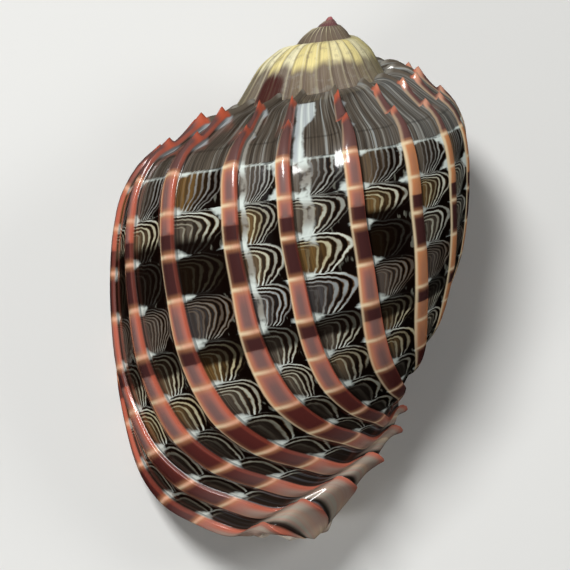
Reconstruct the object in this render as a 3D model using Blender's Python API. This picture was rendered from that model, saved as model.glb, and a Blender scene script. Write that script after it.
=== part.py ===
"""A harp shell, lying on its aperture with its ribbed back up.

The shell is one piece. It is modelled as a last whorl, a thin ribbed wall that widens as it
turns, joined to the core that it grew round: the spire, the wall inside the aperture and the
columella. Lengths are millimetres and angles are degrees. The coil's own frame has +X to the
right, +Y towards the apex and +Z out of the shell's back, with the coiling axis along Y.

Turn angles grow with the shell: 0 is the last rib, behind the outer lip, and -360 is one whorl
older. An axial distance is measured down the axis from the pole, the point that the last
whorl's spiral would shrink to. A bearing is the direction from the axis: 0 is right and 90 is
out of the back.
"""

import math

import bmesh
import bpy
import numpy as np
from mathutils import Matrix

MM = 0.001

# Growth of the last whorl, from one turn to the next
WHORL_GROWTH = 2.15
LAST_RIB_BEARING = 200.8
RIB_TURNS = (0.0, -20.3, -39.9, -59.9, -83.2, -99.7, -122.7, -145.0, -166.1, -184.6)
RIB_SPACING = 20.5
RIBS = 17
RIB_CREST = 0.07
RIB_BACK = 0.45
LIP_TURN = 6.0
WALL_START = -346.0
WALL = 1.25
LIP_WALL = 2.1
LIP_COLUMNS = (3.0, 4.8, 6.0)
LIP_TAPER = 5.0
LIP_THICKENING = 12.0
START_TAPER = 4.0

# The last whorl's outline at the last rib: radius, axial distance, lag of the growth line, rib height
OUTLINE = {
    "ramp": (16.9, 31.0, 7.9, 0.5),
    "shoulder_spine": (20.4, 32.6, 7.6, 2.2),
    "spine_gap": (23.2, 34.6, 6.2, 0.9),
    "second_spine": (25.8, 36.4, 5.0, 1.8),
    "upper_side": (29.0, 38.5, 4.0, 1.0),
    "band_1": (31.0, 41.8, 3.3, 1.0),
    "band_2": (32.4, 48.2, 1.7, 1.0),
    "band_3": (32.6, 55.2, 0.0, 1.0),
    "band_4": (32.1, 62.4, -3.0, 1.0),
    "band_5": (31.0, 69.7, -6.3, 1.0),
    "band_6": (28.8, 76.4, -11.1, 1.0),
    "band_7": (26.1, 82.1, -18.6, 1.0),
    "band_8": (22.4, 86.3, -31.8, 1.0),
    "band_9": (18.9, 88.4, -49.1, 1.0),
    "groove": (15.9, 89.9, -68.6, 0.8),
    "notch": (15.6, 88.9, -80.0, 0.9),
    "fasciole_crest": (15.8, 88.7, -90.0, 1.4),
    "fasciole_inside": (11.0, 92.5, -103.0, 0.3),
    "columella_root": (3.0, 99.0, -125.0, 0.0),
}
SPINE_ROWS = ("shoulder_spine", "second_spine")
SPINE_OUT = 0.6
SPINE_UP = (0.0, 0.8, 0.0)

# Older whorls are slimmer at the shoulder and sit lower than the last whorl's spiral
OLDER_FROM = -200.0
OLDER_SPAN = 180.0
OLDER_DROP = 4.7
OLDER_SLIM = 0.13
OLDER_SLIM_TO = 53.0
OLDER_SLIM_SPAN = 11.0

# The suture, where each whorl lies on the one before
SUTURE_RADIUS = 15.3
SUTURE_RADIUS_RATE = 0.16
SUTURE_AXIAL = 15.7
SUTURE_AXIAL_RATE = 0.188
SUTURE_AXIAL_START = 12.8
SUTURE_TUCK = 0.9
SUTURE_FALL = 0.16

# The spire: shares of the way from one suture to the next, down and outwards
APEX_AXIAL = 12.3
APEX_POWER = 0.75
SPIRE_WHORLS = 4
SPIRE_DOWN = (0.0, 0.06, 0.18, 0.35, 0.62, 0.81, 1.0)
SPIRE_OUT = (0.0, 0.20, 0.39, 0.57, 0.745, 0.865, 1.0)

# The oldest whorls have straighter sides, as of a cone
CONE_DOWN = (0.0, 0.13, 0.28, 0.46, 0.66, 0.84, 1.0)
CONE_FROM = -560.0
CONE_SPAN = 240.0

# The columella, which leans back to the siphonal notch
COLUMELLA_DOWN = (40.0, 62.0, 77.0, 86.0, 90.0, 91.4)
COLUMELLA_RADIUS = (5.8, 5.6, 5.2, 4.3, 2.4, 0.0)
COLUMELLA_LEAN = (-3.2, 0.0, 9.5)
COLUMELLA_LEAN_FROM = 58.0
LEAN_REACH = 12.0
ANTERIOR_END = 90.4
FASCIOLE_SLOPE = 0.18
FASCIOLE_FILL = 0.6
FILL_FROM = (-160.0, 60.0)
FILL_TO = (-15.0, 45.0)
FILL_SHARPNESS = 6
SIDE_END = "band_7"
SIDE_FALL = 9.0
CALLUS = 0.75
CALLUS_WIDTH = 34.0
CALLUS_EDGE = 22.0
CAVITY_START = 34.0
CAVITY_OPENING = 50.0
INNER_CALLUS_START = 300.0
INNER_CALLUS_SPAN = 60.0

# Columns round the core, and levels down its spire and below it
CORE_COLUMNS = 54
SPIRE_LEVELS = 22
SPIRE_END = 29.5
LOWER_LEVELS = 17
LOWER_START = 31.5

# How the shell lies: rolled about the long axis, then pitched about the cross axis
REST_ROLL = 3.0
REST_PITCH = 16.1
REST_FLAT = 0.25
TABLE = 200.0

SHELL_COLOUR = (0.42, 0.24, 0.18, 1.0)
SHELL_ROUGHNESS = 0.25

RATE = math.log(WHORL_GROWTH) / 360
LIP_BEARING = LAST_RIB_BEARING + LIP_TURN
ROWS = np.array(list(OUTLINE.values()))
CREST_ROW = list(OUTLINE).index("fasciole_crest")


def growth(turn):
    """Size of the whorl at a turn angle, against its size at the last rib."""
    return np.exp(RATE * turn)


def ease(share):
    """Smooth step from 0 to 1."""
    share = np.clip(share, 0, 1)
    return share * share * (3 - 2 * share)


def suture(turn):
    """Radius and axial distance of the suture at a turn angle."""
    angle = np.radians(turn)
    radius = SUTURE_RADIUS * np.exp(SUTURE_RADIUS_RATE * angle)
    axial = SUTURE_AXIAL_START + SUTURE_AXIAL * np.exp(SUTURE_AXIAL_RATE * angle)
    return radius, axial


def whorl_outline(turn):
    """Radius and axial distance of every outline row; turn is one angle, or one for each row."""
    older = ease((OLDER_FROM - turn) / OLDER_SPAN)
    slim = np.clip((OLDER_SLIM_TO - ROWS[:, 1]) / OLDER_SLIM_SPAN, 0, 1)
    radius = growth(turn) * ROWS[:, 0] * (1 - OLDER_SLIM * older * slim)
    axial = growth(turn) * ROWS[:, 1] + OLDER_DROP * older
    return radius, np.where(np.arange(len(ROWS)) > CREST_ROW, np.minimum(axial, ANTERIOR_END), axial)


def rib_turns():
    """Turn angles of the last whorl's ribs, youngest first; those on the hidden side are even."""
    turns = list(RIB_TURNS)
    while len(turns) < RIBS:
        turns.append(turns[-1] - RIB_SPACING)
    return turns


def wall_columns():
    """Turn angles of the wall's columns, with the height of the ribs at each."""
    columns = [(WALL_START, 0.0)]
    for rib in reversed(rib_turns()):
        columns.append((rib - RIB_CREST * RIB_SPACING, 0.0))
        columns.append((rib, 1.0))
        columns.append((rib + RIB_BACK * RIB_SPACING, 0.0))
    columns = [column for column in columns if column[0] <= 0]
    return np.array([*columns, *((turn, 0.0) for turn in LIP_COLUMNS)]).T


def to_point(bearing, radius, axial):
    """A point of the coil's frame, from its bearing about the axis."""
    angle = np.radians(bearing)
    across = radius * np.cos(angle)
    return np.stack([across, 0 * across - axial, radius * np.sin(angle)], axis=-1)


def lean(axial, radius):
    """How far the columella leans at an axial distance; the whorl's outer side stays in place."""
    span = COLUMELLA_DOWN[-1] - COLUMELLA_LEAN_FROM
    share = np.clip((axial - COLUMELLA_LEAN_FROM) / span, 0, 1) ** 2
    near = np.clip(1 - radius / LEAN_REACH, 0, 1)
    return (share * near)[..., None] * np.array(COLUMELLA_LEAN)


def wall_base(turns):
    """The last whorl's surface without ribs: a point for each column and row, from the suture."""
    points = np.zeros((len(turns), len(ROWS) + 1, 3))
    for column, turn in enumerate(turns):
        bearing = LAST_RIB_BEARING + turn + ROWS[:, 2]
        radius, axial = whorl_outline(turn)
        points[column, 1:] = to_point(bearing, radius, axial) + lean(axial, radius)
        radius, axial = suture(turn)
        points[column, 0] = to_point(bearing[0], radius - SUTURE_TUCK, axial)
    return points


def surface_normals(points):
    """Outward normals of a grid of points."""
    normals = np.cross(np.gradient(points, axis=0), np.gradient(points, axis=1))
    return normals / np.linalg.norm(normals, axis=-1, keepdims=True)


def wall_ring():
    """The last whorl's wall as a grid of rings: down its outer side and back up its inner side."""
    turns, ribs = wall_columns()
    base = wall_base(turns)
    normals = surface_normals(base)
    heights = np.concatenate([[0.0], ROWS[:, 3]])
    push = normals.copy()
    for name in SPINE_ROWS:
        row = 1 + list(OUTLINE).index(name)
        push[:, row] = SPINE_OUT * push[:, row] + np.array(SPINE_UP)
    raised = (ribs * growth(turns))[:, None] * heights
    to_lip = np.clip((LIP_TURN - turns) / LIP_TAPER, 0, 1)
    from_start = np.clip((turns - WALL_START) / START_TAPER, 0, 1)
    full = WALL + (LIP_WALL - WALL) * np.clip(1 + turns / LIP_THICKENING, 0, 1)
    thickness = full * np.sqrt(growth(turns) * to_lip) * from_start
    edge = 0.5 * full * (1 - np.sqrt(to_lip) * from_start)
    outer = base + push * raised[..., None] - normals * edge[:, None, None]
    inner = base - normals * (thickness + edge)[:, None, None]
    return np.concatenate([outer, inner[:, ::-1], outer[:, :1]], axis=1)


def spire_radius(turn, axial):
    """Radius of the spire above the suture of a turn angle."""
    low_radius, low_axial = suture(turn)
    for _ in range(SPIRE_WHORLS):
        turn -= 360
        high_radius, high_axial = suture(turn)
        if axial >= high_axial:
            cone = ease((CONE_FROM - turn) / CONE_SPAN)
            shares = np.array(SPIRE_DOWN) * (1 - cone) + np.array(CONE_DOWN) * cone
            down = (axial - high_axial) / (low_axial - high_axial)
            out = float(np.interp(down, shares, SPIRE_OUT))
            return high_radius + (low_radius - high_radius) * out
        low_radius, low_axial = high_radius, high_axial
    return low_radius * (max(axial - APEX_AXIAL, 0) / (low_axial - APEX_AXIAL)) ** APEX_POWER


def whorl_radius(turn, axial):
    """Radius of a whorl's side at an axial distance, running into the columella below it."""
    radii, places = whorl_outline(turn - ROWS[:, 2])
    last = list(OUTLINE).index("groove")
    side = float(np.interp(axial, places[:last], radii[:last]))
    past = max(axial - places[list(OUTLINE).index(SIDE_END)], 0.0) / (SIDE_FALL * growth(turn))
    pillar = float(np.interp(axial, COLUMELLA_DOWN, COLUMELLA_RADIUS))
    return pillar + max(side - pillar, 0.0) * math.exp(-(past**2))


def filled_radius(bearing, axial):
    """Radius of the callus that fills the columella out towards the fasciole, on the aperture's side."""
    pillar = float(np.interp(axial, COLUMELLA_DOWN, COLUMELLA_RADIUS))
    inside = FASCIOLE_FILL * max(FASCIOLE_SLOPE * axial - pillar, 0)
    window = ease((bearing - FILL_FROM[0]) / FILL_FROM[1]) * ease((FILL_TO[0] - bearing) / FILL_TO[1])
    return (pillar + inside) * window


def core_radius(bearing, axial):
    """Radius of the core: the spire, the wall inside the aperture and the columella."""
    turn = bearing - LAST_RIB_BEARING
    suture_radius, suture_axial = suture(turn)
    if axial < suture_axial:
        return spire_radius(turn, axial)
    past_lip = bearing - LIP_BEARING + 360
    opened = ease((past_lip - CAVITY_START) / CAVITY_OPENING)
    callus = CALLUS * (1 - ease((past_lip - CALLUS_WIDTH) / CALLUS_EDGE))
    buried = 0.5 * WALL * (1 - callus / CALLUS)
    inner_callus = CALLUS * ease((past_lip - INNER_CALLUS_START) / INNER_CALLUS_SPAN)
    closed_radius = whorl_radius(turn, axial) + callus - buried
    open_radius = whorl_radius(turn - 360, axial) + inner_callus
    radius = (1 - opened) * closed_radius + opened * open_radius
    fall = math.exp(-(axial - suture_axial) / (SUTURE_FALL * suture_axial))
    radius += (suture_radius - radius) * fall
    return (radius**FILL_SHARPNESS + filled_radius(bearing, axial) ** FILL_SHARPNESS) ** (1 / FILL_SHARPNESS)


def core_rings():
    """The core's surface as a grid: a line from the apex to the anterior tip at each bearing."""
    bearings = LIP_BEARING - 360 + np.linspace(0, 360, CORE_COLUMNS + 1)
    spire = np.linspace(APEX_AXIAL, SPIRE_END, SPIRE_LEVELS)
    lower = np.linspace(LOWER_START, COLUMELLA_DOWN[-1], LOWER_LEVELS)
    levels = np.concatenate([spire, lower])
    points = np.zeros((len(bearings), len(levels), 3))
    for column, bearing in enumerate(bearings):
        radii = np.array([core_radius(bearing, axial) for axial in levels])
        radii[[0, -1]] = 0.0
        points[column] = to_point(bearing, radii, levels) + lean(levels, 0 * radii)
    points[-1] = points[0]
    return points


def grid_object(name, points):
    """A grid primitive bent to the points given, with the edges that meet joined."""
    columns, rows = points.shape[:2]
    mesh = bmesh.new()
    bmesh.ops.create_grid(mesh, x_segments=columns - 1, y_segments=rows - 1, size=1.0)
    for vertex in mesh.verts:
        column = round((vertex.co.x + 1) / 2 * (columns - 1))
        row = round((vertex.co.y + 1) / 2 * (rows - 1))
        vertex.co = [float(value) * MM for value in points[column, row]]
    bmesh.ops.remove_doubles(mesh, verts=mesh.verts, dist=1e-7)
    bmesh.ops.dissolve_degenerate(mesh, dist=1e-8, edges=mesh.edges)
    bmesh.ops.recalc_face_normals(mesh, faces=mesh.faces)
    data = bpy.data.meshes.new(name)
    mesh.to_mesh(data)
    mesh.free()
    return bpy.data.objects.new(name, data)


def hide_helper(helper):
    """Show a cutter as wire, and leave it out of the model."""
    helper.hide_render = True
    helper.display_type = "WIRE"


def settled(shell):
    """The joined shell's mesh turned to lie at rest, centred, just sunk into the table at Z = 0."""
    bpy.context.view_layer.update()
    graph = bpy.context.evaluated_depsgraph_get()
    data = bpy.data.meshes.new_from_object(shell.evaluated_get(graph))
    data.name = shell.name
    roll = Matrix.Rotation(math.radians(REST_ROLL), 4, "Y")
    pitch = Matrix.Rotation(math.radians(REST_PITCH), 4, "X")
    data.transform(pitch @ roll)
    places = np.array([vertex.co for vertex in data.vertices])
    low = places.min(axis=0)
    high = places.max(axis=0)
    middle = (low + high) / 2
    data.transform(Matrix.Translation((-middle[0], -middle[1], -low[2] - REST_FLAT * MM)))
    return data


def table_object():
    """The slab that the shell rests on, which leaves it small flats."""
    mesh = bmesh.new()
    bmesh.ops.create_cube(mesh, size=TABLE * MM)
    bmesh.ops.translate(mesh, verts=mesh.verts, vec=(0, 0, -TABLE / 2 * MM))
    data = bpy.data.meshes.new("table")
    mesh.to_mesh(data)
    mesh.free()
    return bpy.data.objects.new("table", data)


def shell_material():
    """Glossy brown and pink shell."""
    material = bpy.data.materials.new("shell")
    material.use_nodes = True
    shader = material.node_tree.nodes["Principled BSDF"]
    shader.inputs["Base Color"].default_value = SHELL_COLOUR
    shader.inputs["Roughness"].default_value = SHELL_ROUGHNESS
    return material


def main():
    for item in list(bpy.data.objects):
        bpy.data.objects.remove(item)
    parts = bpy.data.collections.new("harp_shell")
    helpers = bpy.data.collections.new("helpers")
    bpy.context.scene.collection.children.link(parts)
    bpy.context.scene.collection.children.link(helpers)

    wall = grid_object("last_whorl", wall_ring())
    helpers.objects.link(wall)
    hide_helper(wall)
    shell = grid_object("shell", core_rings())
    parts.objects.link(shell)
    shell.data.materials.append(shell_material())
    join = shell.modifiers.new("join_last_whorl", "BOOLEAN")
    join.operation = "UNION"
    join.object = wall
    join.solver = "MANIFOLD"
    shell.data = settled(shell)
    shell.modifiers.clear()

    table = table_object()
    helpers.objects.link(table)
    hide_helper(table)
    wear = shell.modifiers.new("worn_flats", "BOOLEAN")
    wear.operation = "DIFFERENCE"
    wear.object = table
    wear.solver = "MANIFOLD"


main()
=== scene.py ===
"""A harp shell lying on its aperture, with its ribbed and banded back up.

The shell is dressed in three pieces: the last whorl, the spire and the columella. Lengths in the
coil's own frame are millimetres. That frame has +X to the right, +Y towards the apex and +Z out of
the shell's back, with the coiling axis along Y. Turn angles are degrees: 0 is the last rib, behind
the outer lip, and -360 is one whorl older. A rib number counts the ribs back from the lip, and a
place is a spot on the whorl's outline: the suture is -3, the shoulder spines -1 and 0, the pale
bands 1 to 9, the fasciole's crest 11.2 and its root 13.
"""

import logging
import math
from dataclasses import dataclass
from enum import Enum
from functools import cache

import bmesh
import bpy
import numpy as np
from mathutils import Matrix, Vector


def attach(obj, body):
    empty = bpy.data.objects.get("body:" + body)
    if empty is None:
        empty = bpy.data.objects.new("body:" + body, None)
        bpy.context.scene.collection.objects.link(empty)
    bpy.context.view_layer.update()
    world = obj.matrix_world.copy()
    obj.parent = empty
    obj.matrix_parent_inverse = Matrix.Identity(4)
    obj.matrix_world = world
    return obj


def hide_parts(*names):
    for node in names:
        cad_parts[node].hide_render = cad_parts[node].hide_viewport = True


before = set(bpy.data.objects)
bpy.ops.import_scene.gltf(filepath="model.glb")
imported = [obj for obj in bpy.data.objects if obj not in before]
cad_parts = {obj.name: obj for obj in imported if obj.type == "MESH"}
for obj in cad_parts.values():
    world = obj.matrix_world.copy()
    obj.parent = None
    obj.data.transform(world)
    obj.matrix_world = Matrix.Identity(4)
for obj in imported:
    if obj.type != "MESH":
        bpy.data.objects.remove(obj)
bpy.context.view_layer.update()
MM = 0.001
log = logging.getLogger("harp_shell")

Colour = tuple[float, float, float]
Place = tuple[float, float, float]
Stops = tuple[tuple[float, Colour], ...]


def share_of(values: np.ndarray, low: float, high: float) -> np.ndarray:
    """How far values are on the way from low to high, kept from 0 to 1."""
    return np.clip((values - low) / (high - low), 0, 1)


def ease(values: np.ndarray, low: float = 0.0, high: float = 1.0) -> np.ndarray:
    """Smooth step of values from 0 at low to 1 at high."""
    share = share_of(values, low, high)
    return share * share * (3 - 2 * share)


def curve_weights(places: np.ndarray, knots: np.ndarray) -> np.ndarray:
    """Weights that draw a smooth curve through values given at knots.

    Args:
        places: where the curve is read, in rising order.
        knots: where its values are given, in rising order.

    Returns:
        A row of weights for each place, one weight for each knot.
    """
    unit = np.eye(len(knots))
    slopes = np.gradient(unit, knots, axis=0)
    index = np.clip(np.searchsorted(knots, places, side="right") - 1, 0, len(knots) - 2)
    width = (knots[index + 1] - knots[index])[:, None]
    share = (places - knots[index])[:, None] / width
    square = share * share
    cube = square * share
    return (
        (2 * cube - 3 * square + 1) * unit[index]
        + (cube - 2 * square + share) * width * slopes[index]
        + (3 * square - 2 * cube) * unit[index + 1]
        + (cube - square) * width * slopes[index + 1]
    )


def outward(points: np.ndarray) -> np.ndarray:
    """Outward unit normals of a grid of points, with older columns later and rows going down."""
    normals = np.cross(np.gradient(points, axis=1), np.gradient(points, axis=0))
    return normals / np.maximum(np.linalg.norm(normals, axis=-1, keepdims=True), 1e-9)


@dataclass(frozen=True)
class Station:
    """A place on the last whorl's outline, as it is at the last rib.

    Its radius and axial distance are millimetres, its lag is degrees and its rib is the share of
    the ribs' full height there.
    """

    place: float
    radius: float
    axial: float
    lag: float
    rib: float


STATIONS = (
    Station(-2.0, 16.9, 31.0, 7.9, 0.3),
    Station(-1.0, 20.4, 32.6, 7.6, 0.8),
    Station(-0.5, 23.2, 34.6, 6.2, 0.9),
    Station(0.0, 25.8, 36.4, 5.0, 1.0),
    Station(0.5, 29.0, 38.5, 4.0, 1.0),
    Station(1.0, 31.0, 41.8, 3.3, 1.0),
    Station(2.0, 32.4, 48.2, 1.7, 1.0),
    Station(3.0, 32.6, 55.2, 0.0, 1.0),
    Station(4.0, 32.1, 62.4, -3.0, 1.0),
    Station(5.0, 31.0, 69.7, -6.3, 1.0),
    Station(6.0, 28.8, 76.4, -11.1, 1.0),
    Station(7.0, 26.1, 82.1, -18.6, 1.0),
    Station(8.0, 22.4, 86.3, -31.8, 1.0),
    Station(9.0, 18.9, 88.4, -49.1, 1.0),
    Station(10.0, 15.9, 89.9, -68.6, 0.8),
    Station(10.6, 15.6, 88.9, -80.0, 0.9),
    Station(11.2, 15.8, 88.7, -90.0, 1.4),
    Station(12.0, 11.0, 92.5, -103.0, 0.3),
    Station(13.0, 3.0, 99.0, -125.0, 0.0),
)
SUTURE_PLACE = -3.0
LAST_BAND = 9.0
NOTCH = (10.0, 10.6)
CREST_PLACE = 11.2
ROOT_PLACE = 13.0
WIDE = (3.0, 8.5)
WALL_KNOTS = np.array([SUTURE_PLACE, *(station.place for station in STATIONS)])


@dataclass(frozen=True)
class Coil:
    """The spiral that the shell grew along, and the outline that it carries."""

    whorl_growth: float = 2.15
    last_rib_bearing: float = 200.8
    lip_turn: float = 6.0
    wall_start: float = -346.0
    rib_turns: tuple[float, ...] = (
        0.0, -20.3, -39.9, -59.9, -83.2, -99.7, -122.7, -145.0, -166.1, -184.6,
    )  # fmt: skip
    rib_spacing: float = 20.5
    suture_radius: float = 15.3
    suture_radius_rate: float = 0.16
    suture_axial: float = 15.7
    suture_axial_rate: float = 0.188
    suture_start: float = 12.8
    older_from: float = -200.0
    older_span: float = 180.0
    older_drop: float = 4.7
    older_slim: float = 0.13
    older_slim_to: float = 53.0
    older_slim_span: float = 11.0
    anterior_end: float = 90.4
    spire_down: tuple[float, ...] = (0.0, 0.06, 0.18, 0.35, 0.62, 0.81, 1.0)
    spire_out: tuple[float, ...] = (0.0, 0.20, 0.39, 0.57, 0.745, 0.865, 1.0)
    lean_by: Place = (-3.2, 0.0, 9.5)
    lean_from: float = 58.0
    lean_to: float = 91.4
    lean_reach: float = 12.0

    def growth(self, turn: np.ndarray) -> np.ndarray:
        """Size of the whorl at a turn angle, against its size at the last rib."""
        return np.exp(math.log(self.whorl_growth) / 360 * turn)

    def suture(self, turn: np.ndarray) -> tuple[np.ndarray, np.ndarray]:
        """Where the suture is.

        Args:
            turn: turn angles.

        Returns:
            Its radius and its axial distance.
        """
        angle = np.radians(turn)
        radius = self.suture_radius * np.exp(self.suture_radius_rate * angle)
        axial = self.suture_start + self.suture_axial * np.exp(self.suture_axial_rate * angle)
        return radius, axial

    def turn_of_rib(self, rib: np.ndarray) -> np.ndarray:
        """Where a rib number is on the coil.

        Args:
            rib: rib numbers.

        Returns:
            Turn angles.
        """
        last = len(self.rib_turns) - 1
        listed = np.interp(rib, range(last + 1), self.rib_turns)
        older = self.rib_turns[last] - self.rib_spacing * (rib - last)
        return np.where(rib > last, older, np.where(rib < 0, -self.rib_spacing * rib, listed))

    def rib_of_turn(self, turn: np.ndarray) -> np.ndarray:
        """Rib number past the listed ribs, or before the first.

        Args:
            turn: turn angles.

        Returns:
            Rib numbers.
        """
        last = len(self.rib_turns) - 1
        older = last + (self.rib_turns[last] - turn) / self.rib_spacing
        return np.where(turn > 0, -turn / self.rib_spacing, older)

    def outline(self, turn: np.ndarray) -> tuple[np.ndarray, np.ndarray]:
        """Radius and axial distance of every station.

        Args:
            turn: one angle for each column, or for each column and station.

        Returns:
            Radii and axial distances, a row for each column and a value for each station.
        """
        size = np.array([(station.radius, station.axial) for station in STATIONS])
        turn = turn[:, None] if turn.ndim == 1 else turn
        older = ease((self.older_from - turn) / self.older_span)
        slim = np.clip((self.older_slim_to - size[:, 1]) / self.older_slim_span, 0, 1)
        radius = self.growth(turn) * size[:, 0] * (1 - self.older_slim * older * slim)
        axial = self.growth(turn) * size[:, 1] + self.older_drop * older
        ended = np.minimum(axial, self.anterior_end)
        return radius, np.where(WALL_KNOTS[1:] > CREST_PLACE, ended, axial)

    def to_point(
        self, bearing: np.ndarray, radius: np.ndarray, axial: np.ndarray, whole: bool = False
    ) -> np.ndarray:
        """Points of the coil's frame, where the columella's end leans towards the back.

        Args:
            bearing: direction from the axis, 0 to the right and 90 out of the back.
            radius: distance from the axis.
            axial: distance down the axis.
            whole: lean every point as one on the axis, not only those near it.

        Returns:
            The points.
        """
        angle = np.radians(bearing)
        across = radius * np.cos(angle)
        points = np.stack([across, 0 * across - axial, radius * np.sin(angle)], axis=-1)
        share = share_of(axial, self.lean_from, self.lean_to) ** 2
        near = 1.0 if whole else np.clip(1 - radius / self.lean_reach, 0, 1)
        return points + (share * near)[..., None] * np.array(self.lean_by)

    def spire_knots(self, turn: np.ndarray) -> tuple[np.ndarray, np.ndarray]:
        """The outline of a whorl of the spire, from one suture to the next.

        Args:
            turn: turn angles.

        Returns:
            Radii and axial distances at places -3 to 3, a row for each turn angle.
        """
        high_radius, high_axial = self.suture(turn)
        low_radius, low_axial = self.suture(turn + 360)
        radius = high_radius[:, None] + np.outer(low_radius - high_radius, self.spire_out)
        axial = high_axial[:, None] + np.outer(low_axial - high_axial, self.spire_down)
        return radius, axial

    def whorl(self, turn: np.ndarray, places: np.ndarray, tuck: float) -> np.ndarray:
        """The last whorl's surface without its ribs.

        Args:
            turn: turn angle of each column.
            places: outline places of the rows.
            tuck: how far the suture's edge goes into the whorl before.

        Returns:
            A grid of points.
        """
        radius, axial = self.outline(turn)
        suture_radius, suture_axial = self.suture(turn)
        radius = np.concatenate([suture_radius[:, None] - tuck, radius], axis=1)
        axial = np.concatenate([suture_axial[:, None], axial], axis=1)
        lags = np.array([STATIONS[0].lag, *(station.lag for station in STATIONS)])
        weights = curve_weights(places, WALL_KNOTS)
        bearing = self.last_rib_bearing + turn[:, None] + weights @ lags
        return self.to_point(bearing, radius @ weights.T, axial @ weights.T)


@dataclass(frozen=True)
class RestPose:
    """How the shell lies: rolled about its long axis and pitched, then set down."""

    roll: float = 3.0
    pitch: float = 16.1
    sunk: float = 0.25

    def place(self, points: np.ndarray) -> Matrix:
        """The move that turns the shell and sets it down on the floor.

        Args:
            points: the whole surface in the coil's frame.

        Returns:
            The matrix from the coil's frame, in millimetres, to the row's frame in metres.
        """
        roll = Matrix.Rotation(math.radians(self.roll), 4, "Y")
        turned = Matrix.Rotation(math.radians(self.pitch), 4, "X") @ roll
        rest = points @ np.array(turned.to_3x3()).T
        low, high = rest.min(axis=0), rest.max(axis=0)
        middle = (low + high) / 2
        shift = Matrix.Translation((-middle[0], -middle[1], -low[2] - self.sunk))
        return Matrix.Scale(MM, 4) @ shift @ turned


@dataclass
class Sheet:
    """A grid of points that becomes a piece, with its rib numbers and places."""

    points: np.ndarray
    ribs: np.ndarray
    places: np.ndarray
    inner_from: int = 10**6

    def mesh(self, to_row: Matrix) -> bpy.types.Mesh:
        """The sheet as a mesh: a grid primitive bent to its points.

        Args:
            to_row: the matrix from the coil's frame to the row's frame.

        Returns:
            The mesh, with rib numbers and places in its UV map "growth".
        """
        columns, rows = self.points.shape[:2]
        grid = bmesh.new()
        bmesh.ops.create_grid(grid, x_segments=columns - 1, y_segments=rows - 1, size=1.0)
        bmesh.ops.reverse_faces(grid, faces=grid.faces)
        mesh = bpy.data.meshes.new("sheet")
        grid.to_mesh(mesh)
        grid.free()
        flat = np.zeros(len(mesh.vertices) * 3, np.float32)
        mesh.vertices.foreach_get("co", flat)
        flat = flat.reshape(-1, 3)
        column = np.rint((flat[:, 0] + 1) / 2 * (columns - 1)).astype(int)
        row = np.rint((flat[:, 1] + 1) / 2 * (rows - 1)).astype(int)
        matrix = np.array(to_row)
        placed = self.points[column, row] @ matrix[:3, :3].T + matrix[:3, 3]
        placed[:, 2] = np.maximum(placed[:, 2], 0)
        mesh.vertices.foreach_set("co", placed.astype(np.float32).ravel())
        corners = np.zeros(len(mesh.loops), np.int32)
        mesh.loops.foreach_get("vertex_index", corners)
        growth = np.stack([self.ribs[column], self.places[row]], axis=-1)[corners]
        layer = mesh.uv_layers.new(name="growth")
        layer.data.foreach_set("uv", growth.astype(np.float32).ravel())
        lowest = row[corners].reshape(-1, 4).min(axis=1)
        mesh.polygons.foreach_set("material_index", (lowest >= self.inner_from).astype(np.int32))
        return mesh


@dataclass
class Part:
    """A part of the shell that grows on the coil and becomes one piece."""

    coil: Coil
    name: str = "part"

    def build(
        self, sheet: Sheet, to_row: Matrix, finishes: list[bpy.types.Material]
    ) -> bpy.types.Object:
        """Make the part's piece from its sheet, merge the edges that meet and dress it.

        Args:
            sheet: the part's surface.
            to_row: the matrix from the coil's frame to the row's frame.
            finishes: its materials, outer first.

        Returns:
            The piece, at the origin, riding on the shell's body.
        """
        mesh = sheet.mesh(to_row)
        joined = bmesh.new()
        joined.from_mesh(mesh)
        bpy.data.meshes.remove(mesh)
        bmesh.ops.remove_doubles(joined, verts=joined.verts, dist=2e-6)
        bmesh.ops.dissolve_degenerate(joined, dist=1e-7, edges=joined.edges)
        data = bpy.data.meshes.new(self.name)
        joined.to_mesh(data)
        joined.free()
        for finish in finishes:
            data.materials.append(finish)
        data.shade_smooth()
        piece = bpy.data.objects.new(self.name, data)
        bpy.context.scene.collection.objects.link(piece)
        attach(piece, "root")
        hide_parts("shell")
        return piece


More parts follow.
